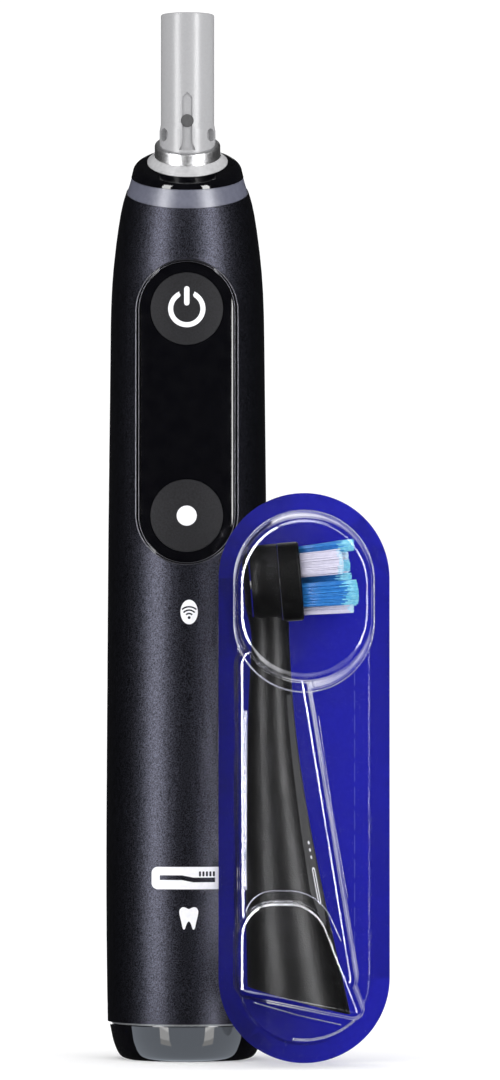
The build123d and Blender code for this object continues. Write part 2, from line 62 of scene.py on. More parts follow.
# ---- shader helpers ------------------------------------------------------------
def object_noise(tree, scale, detail=2.0):
    """The value of a noise in the object's own space."""
    place, noise = tree.nodes.new("ShaderNodeTexCoord"), tree.nodes.new("ShaderNodeTexNoise")
    noise.inputs["Scale"].default_value = scale
    noise.inputs["Detail"].default_value = detail
    tree.links.new(place.outputs["Object"], noise.inputs["Vector"])
    return noise.outputs["Fac"]


def object_axis(tree, axis):
    """A point's place along one of the object's own axes, in metres."""
    place, parts = tree.nodes.new("ShaderNodeTexCoord"), tree.nodes.new("ShaderNodeSeparateXYZ")
    tree.links.new(place.outputs["Object"], parts.inputs[0])
    return parts.outputs[axis]


def ranged(tree, value, span, to):
    """A value with the stretch span mapped to the stretch to, and held at its ends."""
    change = tree.nodes.new("ShaderNodeMapRange")
    change.inputs["From Min"].default_value, change.inputs["From Max"].default_value = span
    change.inputs["To Min"].default_value, change.inputs["To Max"].default_value = to
    tree.links.new(value, change.inputs["Value"])
    return change.outputs["Result"]


def product(tree, first, second):
    node = tree.nodes.new("ShaderNodeMath")
    node.operation = "MULTIPLY"
    tree.links.new(first, node.inputs[0])
    tree.links.new(second, node.inputs[1])
    return node.outputs[0]


# ---- materials -------------------------------------------------------------------
def finish(name, dark, light, rough, grain, bump=0.0, contrast=(0.35, 0.65), **sockets):
    """A Principled material whose colour, roughness and height vary with a fine noise on the object."""
    mat = bpy.data.materials.new(name)
    mat.use_nodes = True
    tree = mat.node_tree
    bsdf = tree.nodes["Principled BSDF"]
    noise = object_noise(tree, grain, 3.0)
    ramp = tree.nodes.new("ShaderNodeValToRGB")
    for stop, position, colour in zip(ramp.color_ramp.elements, contrast, (dark, light)):
        stop.position, stop.color = position, (*colour, 1)
    tree.links.new(noise, ramp.inputs["Fac"])
    tree.links.new(ramp.outputs["Color"], bsdf.inputs["Base Color"])
    tree.links.new(ranged(tree, noise, contrast, rough), bsdf.inputs["Roughness"])
    if bump:
        relief = tree.nodes.new("ShaderNodeBump")
        relief.inputs["Distance"].default_value = bump * MM
        relief.inputs["Strength"].default_value = 1.0
        tree.links.new(noise, relief.inputs["Height"])
        tree.links.new(relief.outputs["Normal"], bsdf.inputs["Normal"])
    for socket, value in sockets.items():
        bsdf.inputs[socket.replace("_", " ")].default_value = value
    return mat


FILM_ROUGH = (0.05, 0.09)
FILM_TURN = 2.6
FILM_FADE = (0.012, 0.028)
PATCH_VALUES, PATCH_SHARES = (0.35, 0.62), (0.45, 1.2)


def film_finish(name, clear, edge, haze, metallic=1.0, patches=130, far_side=0.25):
    """Thin clear film: it lets light straight through face on, and gleams where it turns edge on.

    Its gleam grows from edge[0] to edge[1], comes in patches, and falls to far_side towards the right, a
    painted dimming of its gleam on that side.
    """
    mat = finish(name, haze, haze, FILM_ROUGH, 260, Metallic=metallic)
    tree = mat.node_tree
    weight, power = tree.nodes.new("ShaderNodeLayerWeight"), tree.nodes.new("ShaderNodeMath")
    weight.inputs["Blend"].default_value = 0.5
    power.operation = "POWER"
    power.inputs[1].default_value = FILM_TURN
    tree.links.new(weight.outputs["Facing"], power.inputs[0])
    amount = ranged(tree, power.outputs[0], (0.0, 1.0), edge)
    # painted shade: the film's gleam is dimmed towards its right-hand side
    painted_dimming = ranged(tree, object_axis(tree, "X"), FILM_FADE, (1.0, far_side))
    uneven = ranged(tree, object_noise(tree, patches), PATCH_VALUES, PATCH_SHARES)
    through, mix = tree.nodes.new("ShaderNodeBsdfTransparent"), tree.nodes.new("ShaderNodeMixShader")
    through.inputs["Color"].default_value = (*clear, 1)
    tree.links.new(product(tree, amount, product(tree, painted_dimming, uneven)), mix.inputs[0])
    tree.links.new(through.outputs[0], mix.inputs[1])
    tree.links.new(tree.nodes["Principled BSDF"].outputs[0], mix.inputs[2])
    tree.links.new(mix.outputs[0], tree.nodes["Material Output"].inputs["Surface"])
    return mat


def painted_shade_along(mat, axis, span, shares):
    """Paint shade into a finish's colour: scale it by shares that change over a stretch of one of the
    object's own axes.
    """
    tree = mat.node_tree
    colour = tree.nodes["Principled BSDF"].inputs["Base Color"]
    tint = tree.nodes.new("ShaderNodeVectorMath")
    tint.operation = "SCALE"
    tree.links.new(colour.links[0].from_socket, tint.inputs[0])
    tree.links.new(ranged(tree, object_axis(tree, axis), span, shares), tint.inputs["Scale"])
    tree.links.new(tint.outputs["Vector"], colour)


def ease(mat, socket, axis, span, values):
    """Let one number of a finish change over a stretch of one of the object's own axes."""
    tree = mat.node_tree
    value = ranged(tree, object_axis(tree, axis), span, values)
    tree.links.new(value, tree.nodes["Principled BSDF"].inputs[socket])


LOOKS = {
    "shell": finish("shell_look", (0.004, 0.004, 0.006), (0.039, 0.04, 0.054), (0.33, 0.45), 5000, 0.022,
                    (0.36, 0.68), Metallic=0.9),
    "light_ring": finish("light_ring_look", (0.105, 0.11, 0.15), (0.12, 0.125, 0.17), (0.3, 0.36), 1500),
    "black_gloss": finish("black_gloss_look", (0.002, 0.002, 0.003), (0.003, 0.003, 0.004), (0.03, 0.05),
                          400, Specular_IOR_Level=0.42),
    "grey_seal": finish("grey_seal_look", (0.42, 0.42, 0.43), (0.48, 0.48, 0.49), (0.35, 0.45), 1200),
    "steel": finish("steel_look", (0.46, 0.46, 0.47), (0.6, 0.6, 0.61), (0.33, 0.4), 2600, 0.004,
                    Metallic=1.0),
    "grey_plastic": finish("grey_plastic_look", (0.35, 0.35, 0.36), (0.37, 0.37, 0.38), (0.29, 0.31), 3000,
                           Specular_IOR_Level=0.3),
    "dark_rubber": finish("dark_rubber_look", (0.03, 0.03, 0.032), (0.04, 0.04, 0.042), (0.55, 0.65), 2000),
    "copper": finish("copper_look", (0.5, 0.2, 0.08), (0.65, 0.28, 0.12), (0.3, 0.4), 2500, Metallic=1.0),
    "ferrite": finish("ferrite_look", (0.03, 0.03, 0.033), (0.05, 0.05, 0.055), (0.5, 0.7), 2500),
    "bezel": finish("bezel_look", (0.006, 0.006, 0.007), (0.009, 0.009, 0.01), (0.15, 0.22), 1500,
                    Metallic=0.6),
    "display": finish("display_look", (0.004, 0.004, 0.006), (0.006, 0.006, 0.008), (0.1, 0.15), 800),
    "board": finish("board_look", (0.01, 0.09, 0.03), (0.02, 0.13, 0.05), (0.3, 0.4), 1500),
    "chip": finish("chip_look", (0.015, 0.015, 0.016), (0.03, 0.03, 0.03), (0.5, 0.6), 2500),
    "inner_plastic": finish("inner_plastic_look", (0.6, 0.6, 0.58), (0.66, 0.66, 0.63), (0.4, 0.5), 1500),
    "battery": finish("battery_look", (0.05, 0.16, 0.4), (0.06, 0.2, 0.47), (0.25, 0.35), 900),
    "nickel": finish("nickel_look", (0.6, 0.58, 0.52), (0.7, 0.68, 0.6), (0.25, 0.35), 2500, Metallic=1.0),
    "lamp": finish("lamp_look", (0.75, 0.75, 0.7), (0.85, 0.85, 0.8), (0.2, 0.3), 1500),
    "magnet": finish("magnet_look", (0.4, 0.4, 0.42), (0.5, 0.5, 0.52), (0.2, 0.3), 2000, Metallic=1.0),
    "card": finish("card_look", (0.006, 0.007, 0.33), (0.007, 0.008, 0.37), (0.45, 0.55), 1400, 0.004,
                   Specular_IOR_Level=0.1),
    "button": finish("button_look", (0.006, 0.006, 0.0075), (0.012, 0.012, 0.015), (0.55, 0.65), 3400, 0.01,
                     Specular_IOR_Level=0.14),
    "white_ink": finish("white_ink_look", (0.8, 0.8, 0.84), (0.86, 0.86, 0.9), (0.45, 0.55), 1500),
    "head_plastic": finish("head_look", (0.001, 0.001, 0.001), (0.007, 0.007, 0.0068), (0.34, 0.46), 3800,
                           0.05, (0.38, 0.66)),
    "bristle_blue": finish("bristle_blue_look", (0.016, 0.2, 0.62), (0.03, 0.27, 0.72), (0.3, 0.4), 1500),
    "bristle_white": finish("bristle_white_look", (0.7, 0.68, 0.82), (0.78, 0.76, 0.9), (0.3, 0.4), 1500),
    "clear_film": film_finish("clear_film_look", (0.985, 0.985, 0.99), (0.12, 0.7), (0.9, 0.9, 0.95)),
}
# painted shade: the card's blue is darker towards its left edge, next to the handle
painted_shade_along(LOOKS["card"], "X", (0.006, 0.022), (0.5, 1.0))
ease(LOOKS["head_plastic"], "Specular IOR Level", "Z", (0.074, 0.078), (0.3, 0.13))

BRISTLE_TIP = finish("bristle_tip_look", (0.12, 0.55, 0.8), (0.3, 0.75, 0.9), (0.3, 0.4), 1500)
BRISTLE_PALE_TIP = finish("bristle_pale_tip_look", (0.4, 0.7, 0.9), (0.75, 0.85, 0.95), (0.3, 0.4), 1500)
TRIM = finish("trim_look", (0.1, 0.1, 0.115), (0.14, 0.14, 0.16), (0.3, 0.4), 2500, Metallic=0.8)
TRIM_PALE = finish("trim_pale_look", (0.3, 0.31, 0.33), (0.4, 0.41, 0.43), (0.5, 0.6), 2500, Metallic=0.3)
# painted highlight: a whitish, half-clear finish for the crease beads, showing as pale lines along the
# film's creases
CREASE_HIGHLIGHT = film_finish("crease_highlight_look", (0.98, 0.98, 0.99), (0.42, 0.85), (0.75, 0.76, 0.9), 0.2, 110, 0.6)
CUT_LINE = finish("cut_line_look", (0.02, 0.024, 0.42), (0.035, 0.045, 0.5), (0.45, 0.55), 900)
# painted sheen: the neck's flat band is real, its lighter grey stands in for the sheen on it
BAND_SHEEN = finish("band_sheen_look", (0.06, 0.06, 0.061), (0.085, 0.085, 0.087), (0.4, 0.5), 3400, 0.006)

SLOT_OF = {row["node"]: row["material_slot"] for row in frame["record"]["subparts"]}
for node, obj in NODES.items():
    obj.data.materials.clear()
    obj.data.materials.append(LOOKS[SLOT_OF[node]])
for node in ("blister", "head_body", "backing_card"):
    NODES[node].visible_shadow = False
for node in ("head_body", "backing_card", "seat_ring", "neck_gasket"):
    NODES[node].visible_glossy = False


# ---- mesh helpers --------------------------------------------------------------
def add(name, mesh, body):
    """An object for a mesh, riding on a body."""
    obj = bpy.data.objects.new(name, mesh)
    bpy.context.collection.objects.link(obj)
    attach(obj, body)
    return obj


def make(name, verts, faces, mats, body, indices=None, smooth=True):
    """A piece from points in metres; indices are the faces' materials where there are several."""
    mesh = bpy.data.meshes.new(name)
    mesh.from_pydata([tuple(v) for v in verts], [], faces)
    for mat in mats:
        mesh.materials.append(mat)
    if indices:
        mesh.polygons.foreach_set("material_index", indices)
    mesh.polygons.foreach_set("use_smooth", [smooth] * len(mesh.polygons))
    mesh.update()
    return add(name, mesh, body)


def skin(rings, around, closed=False, base=0):
    """Four-sided faces between successive rings of points; closed joins the last to the first."""
    return [(base + r * around + k, base + r * around + (k + 1) % around,
             base + (r + 1) % rings * around + (k + 1) % around, base + (r + 1) % rings * around + k)
            for r in range(rings if closed else rings - 1) for k in range(around)]


def tree_of(node):
    mesh = NODES[node].data
    return BVHTree.FromPolygons([v.co for v in mesh.vertices], [tuple(p.vertices) for p in mesh.polygons])


def surface_of(*nodes):
    """A function giving the named CAD nodes' front point and normal at (x, z) in millimetres."""
    trees = [tree_of(node) for node in nodes]

    def probe(x, z):
        hits = [tree.ray_cast(Vector((x * MM, -0.05, z * MM)), Vector((0, 1, 0))) for tree in trees]
        point, normal = min(((h[0], h[1]) for h in hits if h[0] is not None), key=lambda hit: hit[0].y)
        return point, (normal if normal.y < 0 else -normal)
    return probe


def fill(loops, step=0.4):
    """A flat face between closed loops, holes and all, cut into strips so that it can follow a curve."""
    curve = bpy.data.curves.new("outline", "CURVE")
    curve.dimensions, curve.fill_mode = "2D", "BOTH"
    for loop in loops:
        spline = curve.splines.new("POLY")
        spline.points.add(len(loop) - 1)
        for point, (u, v) in zip(spline.points, loop):
            point.co = (u, v, 0, 1)
        spline.use_cyclic_u = True
    holder = bpy.data.objects.new("outline", curve)
    bpy.context.collection.objects.link(holder)
    bpy.context.view_layer.update()
    mesh = bpy.data.meshes.new_from_object(holder.evaluated_get(bpy.context.evaluated_depsgraph_get()))
    bpy.data.objects.remove(holder)
    flat = bmesh.new()
    flat.from_mesh(mesh)
    bpy.data.meshes.remove(mesh)
    bmesh.ops.remove_doubles(flat, verts=flat.verts, dist=1e-5)
    high = max(v.co.x for v in flat.verts)
    cut = min(v.co.x for v in flat.verts) + step
    while cut < high:
        geometry = flat.verts[:] + flat.edges[:] + flat.faces[:]
        bmesh.ops.bisect_plane(flat, geom=geometry, plane_co=(cut, 0, 0), plane_no=(1, 0, 0))
        cut += step
    return flat


def printed(name, loops, place, body, height=0.03):
    """A thin white print: filled loops laid on a surface by place(u, v), which gives point and normal."""
    flat = fill(loops)
    lifted = bmesh.ops.extrude_face_region(flat, geom=flat.faces[:])["geom"]
    top = {v for v in lifted if isinstance(v, bmesh.types.BMVert)}
    for vert in flat.verts:
        point, normal = place(vert.co.x, vert.co.y)
        vert.co = Vector(point) + Vector(normal) * MM * (height if vert in top else -height)
    bmesh.ops.recalc_face_normals(flat, faces=flat.faces[:])
    mesh = bpy.data.meshes.new(name)
    flat.to_mesh(mesh)
    flat.free()
    mesh.materials.append(LOOKS["white_ink"])
    return add(name, mesh, body)


# ---- outlines ----------------------------------------------------------------------
def ring(u, v, radius, count=40, tall=1.0):
    angles = [2 * math.pi * i / count for i in range(count)]
    return [(u + radius * math.cos(a), v + tall * radius * math.sin(a)) for a in angles]


def rounded(u, v, width, height, radius, count=8):
    loop = []
    for corner, (su, sv) in enumerate([(1, 1), (-1, 1), (-1, -1), (1, -1)]):
        for i in range(count + 1):
            a = math.pi / 2 * (corner + i / count)
            loop.append((u + su * (width / 2 - radius) + radius * math.cos(a),
                         v + sv * (height / 2 - radius) + radius * math.sin(a)))
    return loop


def arc_band(u, v, inner, outer, start, end, count=16):
    angles = [math.radians(start + (end - start) * i / count) for i in range(count + 1)]
    return ([(u + outer * math.cos(a), v + outer * math.sin(a)) for a in angles]
            + [(u + inner * math.cos(a), v + inner * math.sin(a)) for a in reversed(angles)])


def slot_outline(x, half, bottom, top, straight, bend):
    """An upright slot whose end arcs are centred at heights bottom and top, as (x, z) points."""
    rises = [(top - bottom) * i / straight for i in range(straight)]
    turns = [math.pi * i / bend for i in range(bend)]
    return ([(x + half, bottom + rise) for rise in rises]
            + [(x + half * math.cos(a), top + half * math.sin(a)) for a in turns]
            + [(x - half, top - rise) for rise in rises]
            + [(x - half * math.cos(a), bottom - half * math.sin(a)) for a in turns])


def bent_path(corners, step=0.6, bend=16):
    """An open path through (x, z, radius) corners, each turned by an arc."""
    path = [corners[0][:2]]
    for (x0, z0, _), (x1, z1, radius), (x2, z2, _) in zip(corners, corners[1:], corners[2:]):
        corner = Vector((x1, z1))
        back = (Vector((x0, z0)) - corner).normalized()
        ahead = (Vector((x2, z2)) - corner).normalized()
        half = back.angle(ahead) / 2
        reach = radius / math.tan(half)
        centre = corner + (back + ahead).normalized() * radius / math.sin(half)
        start = corner + back * reach - centre
        turn = start.angle_signed(corner + ahead * reach - centre)
        for a in (-turn * i / bend for i in range(bend + 1)):
            path.append((centre.x + start.x * math.cos(a) - start.y * math.sin(a),
                         centre.y + start.x * math.sin(a) + start.y * math.cos(a)))
    path.append(corners[-1][:2])
    dense = []
    for (x0, z0), (x1, z1) in zip(path, path[1:]):
        count = max(1, round(math.hypot(x1 - x0, z1 - z0) / step))
        dense += [(x0 + (x1 - x0) * i / count, z0 + (z1 - z0) * i / count) for i in range(count)]
    return dense + [path[-1]]


# ---- panel surround: two fine raised lines with a groove between them -----------
def slot_size(node):
    """An upright slot-shaped node's middle height, half width and half the span of its arcs' centres."""
    low, high = [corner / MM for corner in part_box(node)]
    half = (high.x - low.x) / 2
    return (low.z + high.z) / 2, half, (high.z - low.z) / 2 - half


PANEL_Z, LENS_HALF, LENS_ARC = slot_size("panel_lens")
BEZEL_HALF, BEZEL_ARC = slot_size("panel_bezel")[1:]
BEZEL_GAP = 0.1
LINE_FOOT = 0.25
panel_front = surface_of("handle_shell", "panel_bezel", "panel_lens")


def surround_path(part):
    """The upright slot outline a given part of the way from the shell's opening to the lens."""
    opening = BEZEL_HALF + BEZEL_GAP
    half = opening + part * (LENS_HALF - opening)
    arc = BEZEL_ARC + part * (LENS_ARC - BEZEL_ARC)
    return slot_outline(0, half, PANEL_Z - arc, PANEL_Z + arc, 40, 48)


def raised_line(name, outer, inner, rise, steps=6):
    """A rounded line that runs right round the display, standing on whatever lies under it."""
    depth = [panel_front(x, z)[0].y for x, z in surround_path((outer + inner) / 2)]
    shares = [k / steps for k in range(steps + 1)]
    rows = [(outer + (inner - outer) * share, rise * math.sin(math.pi * share)) for share in shares]
    rows += [(inner, -LINE_FOOT), (outer, -LINE_FOOT)]
    verts = [(x * MM, y - lift * MM, z * MM)
             for part, lift in rows for (x, z), y in zip(surround_path(part), depth)]
    return make(name, verts, skin(len(rows), len(depth), closed=True), [TRIM], "handle")


raised_line("display_outer_line", 0.02, 0.34, 0.12)
raised_line("display_inner_line", 0.6, 0.8, 0.08)


# ---- base: a pale ring under the shell's foot --------------------------------------
def turned_ring(name, inner, outer, bottom, top, mat, body, around=96):
    """A ring of rectangular section about the handle's axis."""
    corners = [(inner, bottom), (inner, top), (outer, top), (outer, bottom)]
    angles = [2 * math.pi * i / around for i in range(around)]
    verts = [(r * MM * math.cos(a), r * MM * math.sin(a), z * MM) for a in angles for r, z in corners]
    return make(name, verts, skin(around, 4, closed=True), [mat], body, smooth=False)


turned_ring("foot_trim", 13.32, 13.66, 6.46, 6.74, TRIM_PALE, "handle")

# ---- printed marks on the handle -----------------------------------------------------
shell_front = surface_of("handle_shell")


def on_shell(u0, v0):
    return lambda u, v: shell_front(u0 + u, v0 + v)


def signal_badge():
    """An oval with a dot and three arcs cut out of it."""
    foot = -1.0
    arcs = [arc_band(0, foot, 0.6, 0.88, 42, 138), arc_band(0, foot, 1.2, 1.48, 42, 138),
            arc_band(0, foot, 1.8, 2.08, 48, 132)]
    return [ring(0, 0, 1.55, 48, 1.42), ring(0, foot, 0.26, 20), *arcs]


def brush_label():
    """A round-cornered label with a plain toothbrush cut out of it."""
    upper = [(4.9, 0.1), (1.0, 0.1), (-1.0, 0.5), (-5.0, 0.5)]
    lower = [(-5.0, -0.35), (-1.0, -0.35), (1.0, -0.75), (4.9, -0.75)]
    tufts = [rounded(2.2 + 0.62 * k, 0.75, 0.38, 0.9, 0.1, 3) for k in range(5)]
    return [rounded(0, 0, 12.9, 4.0, 1.1), lower + upper, *tufts]


def tooth(rounds=2):
    """A plain tooth silhouette, a notched crown above two roots, with its corners cut back."""
    half = [(0.0, 1.5), (0.55, 1.85), (1.25, 1.95), (1.75, 1.3), (1.6, 0.3), (1.3, -0.8), (1.1, -2.0),
            (0.7, -2.15), (0.42, -1.1)]
    loop = half + [(0.0, -0.5)] + [(-u, v) for u, v in reversed(half[1:])]
    for _ in range(rounds):
        pairs = list(zip(loop, loop[1:] + loop[:1]))
        loop = [(a[0] + t * (b[0] - a[0]), a[1] + t * (b[1] - a[1])) for a, b in pairs for t in (0.25, 0.75)]
    return loop


printed("signal_badge", signal_badge(), on_shell(0.45, 80.6), "handle")
printed("brush_label", brush_label(), on_shell(0.2, 33.0), "handle")
printed("tooth_mark", [tooth()], on_shell(0.4, 25.9), "handle")

# ---- card: the tear line, cut in long dashes ---------------------------------------
card_low, card_high = [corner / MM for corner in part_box("backing_card")]
CARD_FRONT = card_low.y
CARD_X = (card_low.x + card_high.x) / 2
TEAR_STEP = 0.1
TEAR_X, TEAR_TOP, TEAR_BEND = 30.06, 70.8, 18.5
BEND_RADIUS, BEND_LENGTH = 12.6, 11.5
DASH_STEPS, GAP_STEPS, BAR_STEPS = 33, 10, 8
CUT_WIDTH, CUT_RISE, CUT_DEPTH = 0.12, 0.03, 0.02


def tear_path():
    """The tear line down the card and round the corner at its foot, as (x, z) points a step apart."""
    straight, bend = round((TEAR_TOP - TEAR_BEND) / TEAR_STEP), round(BEND_LENGTH / TEAR_STEP)
    path = [(TEAR_X, TEAR_TOP - TEAR_STEP * i) for i in range(straight)]
    for a in (TEAR_STEP / BEND_RADIUS * i for i in range(bend)):
        path.append((TEAR_X - BEND_RADIUS * (1 - math.cos(a)), TEAR_BEND - BEND_RADIUS * math.sin(a)))
    return path


def tear_line():
    """Small flat bars laid end to end down the tear path, with gaps between the dashes."""
    path, verts, faces = tear_path(), [], []
    for at in range(0, len(path) - DASH_STEPS, DASH_STEPS + GAP_STEPS):
        end = at + DASH_STEPS
        points = [Vector(point) for point in path[at:end:BAR_STEPS] + [path[end]]]
        base, rows = len(verts), len(points)
        for i, point in enumerate(points):
            along = points[min(i, rows - 2) + 1] - points[min(i, rows - 2)]
            across = Vector((along.y, -along.x)).normalized() * CUT_WIDTH / 2
            for side, y in ((1, CUT_DEPTH), (1, -CUT_RISE), (-1, -CUT_RISE), (-1, CUT_DEPTH)):
                x, z = point + side * across
                verts.append((x * MM, (CARD_FRONT + y) * MM, z * MM))
        faces += skin(rows, 4, base=base)
        faces += [tuple(base + k for k in range(4)), tuple(base + 4 * rows - k for k in (1, 2, 3, 4))]
    return make("tear_line", verts, faces, [CUT_LINE], "pack", smooth=False)


tear_line()

# ---- film: the fine creases pressed into it, with the highlight lines along them painted in a whitish finish ---
film_front = surface_of("blister")


def crease(name, path, radius, closed=False, sides=6):
    """A fine bead in the film, laid along a path on its front surface, in a whitish finish that paints a
    highlight line along it.
    """
    points = [film_front(x, z)[0] for x, z in path]
    verts, count = [], len(points)
    for i, point in enumerate(points):
        ahead = points[(i + 1) % count] if closed or i < count - 1 else point
        back = points[i - 1] if closed or i > 0 else point
        along = (ahead - back).normalized()
        out = Vector((0, -1, 0)) - along * along.dot(Vector((0, -1, 0)))
        out.normalize()
        side = along.cross(out)
        for a in (-2 * math.pi * k / sides for k in range(sides)):
            verts.append(point + (out * math.sin(a) + side * math.cos(a)) * radius * MM)
    faces = skin(count, sides, closed)
    if not closed:
        faces += [tuple(reversed(range(sides))), tuple(range(sides * (count - 1), sides * count))]
    obj = make(name, verts, faces, [CREASE_HIGHLIGHT], "blister")
    obj.visible_shadow = False
    return obj


def dome_foot(width=25.05, low=66.3, high=98.75):
    return slot_outline(CARD_X, width / 2, low + width / 2, high - width / 2, 24, 40)


def foot_arc(x=21.0, z=17.4, radius=13.2):
    angles = [math.radians(-99 + 2 * i) for i in range(27)]
    return [(x + radius * math.cos(a), z + radius * math.sin(a)) for a in angles]


crease("dome_foot_crease", dome_foot(), 0.14, closed=True)
crease("channel_left_crease", bent_path([(10.5, 63.0, 0), (10.45, 45.0, 9), (10.45, 31.5, 0)]), 0.36)
crease("channel_right_crease", bent_path([(23.6, 62.0, 0), (25.9, 46.0, 9), (28.8, 29.5, 0)]), 0.08)
crease("pocket_arch_crease",
       bent_path([(10.6, 27.6, 0), (11.6, 31.3, 5), (23.4, 31.3, 8), (27.4, 22.5, 0)]), 0.1)
crease("pocket_foot_crease", bent_path([(12.0, 10.9, 0), (20.0, 8.6, 20), (27.6, 6.9, 0)]), 0.1)
crease("foot_arc_crease", foot_arc(), 0.24)

# ---- brush head: the flat band up its neck and the marks on it ------------------------
HEAD_TOP = (13.0, -24.6, 85.4)
HEAD_LEAN = -4.8
HEAD = Matrix.Translation(Vector(HEAD_TOP)) @ Matrix.Rotation(math.radians(HEAD_LEAN), 4, "Y")
BAND_TURN = math.radians(30)
BAND_REACH = 14
head_surface = tree_of("head_body")


def on_band(height):
    """Marks run down the band: u is down the neck and v is across it."""
    outward = Vector((math.cos(BAND_TURN), -math.sin(BAND_TURN), 0))
    across = Vector((math.sin(BAND_TURN), math.cos(BAND_TURN), 0))

    def place(u, v):
        start = HEAD @ (outward * BAND_REACH + across * v + Vector((0, 0, height - u)))
        direction = (HEAD.to_3x3() @ -outward).normalized()
        point, normal = head_surface.ray_cast(start * MM, direction)[:2]
        return point, (normal if normal.dot(direction) < 0 else -normal)
    return place


def laid_strip(name, sections, place, mat, body, rows, columns, height=0.015):
    """A thin painted strip on a curved surface, its edges given as (u, low v, high v) sections."""
    grid = []
    for i in range(rows + 1):
        u = sections[0][0] + (sections[-1][0] - sections[0][0]) * i / rows
        pairs = zip(sections, sections[1:])
        (u0, low0, high0), (u1, low1, high1) = next(pair for pair in pairs if u <= pair[1][0] + 1e-6)
        part = (u - u0) / (u1 - u0)
        low, high = low0 + part * (low1 - low0), high0 + part * (high1 - high0)
        grid += [place(u, low + (high - low) * k / columns) for k in range(columns + 1)]
    verts = [point + normal * lift * MM for lift in (height, -height) for point, normal in grid]
    wide, layer = columns + 1, len(grid)
    faces = []
    for corner in (i * wide + k for i in range(rows) for k in range(columns)):
        quad = (corner, corner + wide, corner + wide + 1, corner + 1)
        faces += [quad, tuple(layer + v for v in reversed(quad))]
    border = list(range(wide))
    border += [i * wide + columns for i in range(1, rows + 1)]
    border += [rows * wide + k for k in range(columns - 1, -1, -1)]
    border += [i * wide for i in range(rows - 1, 0, -1)]
    faces += [(a, b, layer + b, layer + a) for a, b in zip(border, border[1:] + border[:1])]
    return make(name, verts, faces, [mat], body, smooth=False)


# painted sheen: the strip is laid in a lighter grey than the neck, over the flat band and past it to the
# edge
laid_strip("head_band", [(20.0, -0.7, 0.8), (55.0, -2.2, 2.1), (61.0, -0.7, 0.6)], on_band(0.0),
           BAND_SHEEN, "brush_head", 60, 14)
printed("head_dots", [ring(u, 0, 0.32, 18) for u in (-1.3, 0, 1.3)], on_band(-47.6), "brush_head")
head_bar = [rounded(0, 0, 6.6, 1.05, 0.5), rounded(0, 0, 5.9, 0.4, 0.19)]
printed("head_bar", head_bar, on_band(-54.0), "brush_head")

# ---- bristles: every filament by itself ---------------------------------------------
FILAMENT = 0.115
PITCH = 0.255
ROW_PITCH = 0.866 * PITCH
ROOT, TIP = 7.2, 17.4
OUTER_RING, INNER_RING = 5.2, 2.3
OUTER_TUFT, INNER_TUFT, MIDDLE_TUFT = (4.4, 1.7), (1.5, 1.5), (1.4, 1.4)
BLUE_END, WHITE_END = 2.4, 0.7
BEND, END_START = 0.4, 0.86
SPREAD, TAPER = 0.15, 0.72
STRAY, LEAN, RAGGED, DOMED = 0.05, 0.07, 0.28, 0.25


def filament_grid(width, depth):
    """A tuft's filaments on a hexagonal grid, its corners left off."""
    rows = int(depth / ROW_PITCH) + 1
    for row in range(rows):
        y = (row - (rows - 1) / 2) * ROW_PITCH
        count = int(width / PITCH) + row % 2
        for column in range(count):
            z = (column - (count - 1) / 2) * PITCH
            if abs(2 * y / depth) ** 4 + abs(2 * z / width) ** 4 <= 1.05:
                yield y, z


def tuft(draw, radius, turn, width, depth, tip, flare, coloured, sides=6):
    """Each filament of a tuft as four rings of points, the last two bounding its coloured end."""
    place = HEAD @ Matrix.Rotation(math.radians(turn), 4, "X")
    spread = SPREAD * flare
    for y, z in filament_grid(width, depth):
        aside = [draw.uniform(-STRAY, STRAY) for _ in range(2)]
        lean = [draw.gauss(0, LEAN) for _ in range(2)]
        end = tip - abs(draw.gauss(0, RAGGED)) - DOMED * (2 * z / width) ** 2
        stations = [(ROOT, 0.0, 1.0), (ROOT + 4, BEND, 1.0),
                    (end - coloured * draw.uniform(0.6, 1.2), END_START, 1.0), (end, 1.0, TAPER)]
        verts = []
        for x, part, thick in stations:
            cy = radius + y + aside[0] + part * (flare + y * spread + lean[0])
            cz = z + aside[1] + part * (z * spread + lean[1])
            for a in (2 * math.pi * k / sides for k in range(sides)):
                radial = FILAMENT * thick
                verts.append(place @ Vector((x, cy + radial * math.cos(a), cz + radial * math.sin(a))) * MM)
        yield verts


def bristle_field(name, node, tufts, mats, sides=6):
    """All the tufts of one colour as one piece, the filaments' ends in the second material."""
    draw = random.Random(7)
    verts, faces, looks = [], [], []
    for row in tufts:
        for filament in tuft(draw, *row, sides=sides):
            base = len(verts)
            verts += filament
            faces += skin(4, sides, base=base)
            faces += [tuple(base + 3 * sides + k for k in range(sides)),
                      tuple(base + sides - 1 - k for k in range(sides))]
            looks += [0] * (2 * sides) + [1] * sides + [1, 0]
    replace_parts(make(name, verts, faces, mats, "bristles", looks), node)


blue_tufts, white_tufts = [], []
for turn, white_tip in ((0, 1.0), (120, 2.2), (240, 1.0)):
    blue_tufts.append((OUTER_RING, turn + 90, *OUTER_TUFT, TIP, 0.4, BLUE_END))
    white_tufts.append((OUTER_RING, turn + 30, *OUTER_TUFT, TIP - white_tip, 0.2, WHITE_END))
    blue_tufts.append((INNER_RING, turn + 60, *INNER_TUFT, TIP - 0.9, 0.1, BLUE_END))
white_tufts.append((0, 0, *MIDDLE_TUFT, TIP - 1.6, 0, WHITE_END))
bristle_field("blue_filaments", "blue_tufts", blue_tufts,
              [LOOKS["bristle_blue"], BRISTLE_TIP])
bristle_field("white_filaments", "white_tufts", white_tufts,
              [LOOKS["bristle_white"], BRISTLE_PALE_TIP])

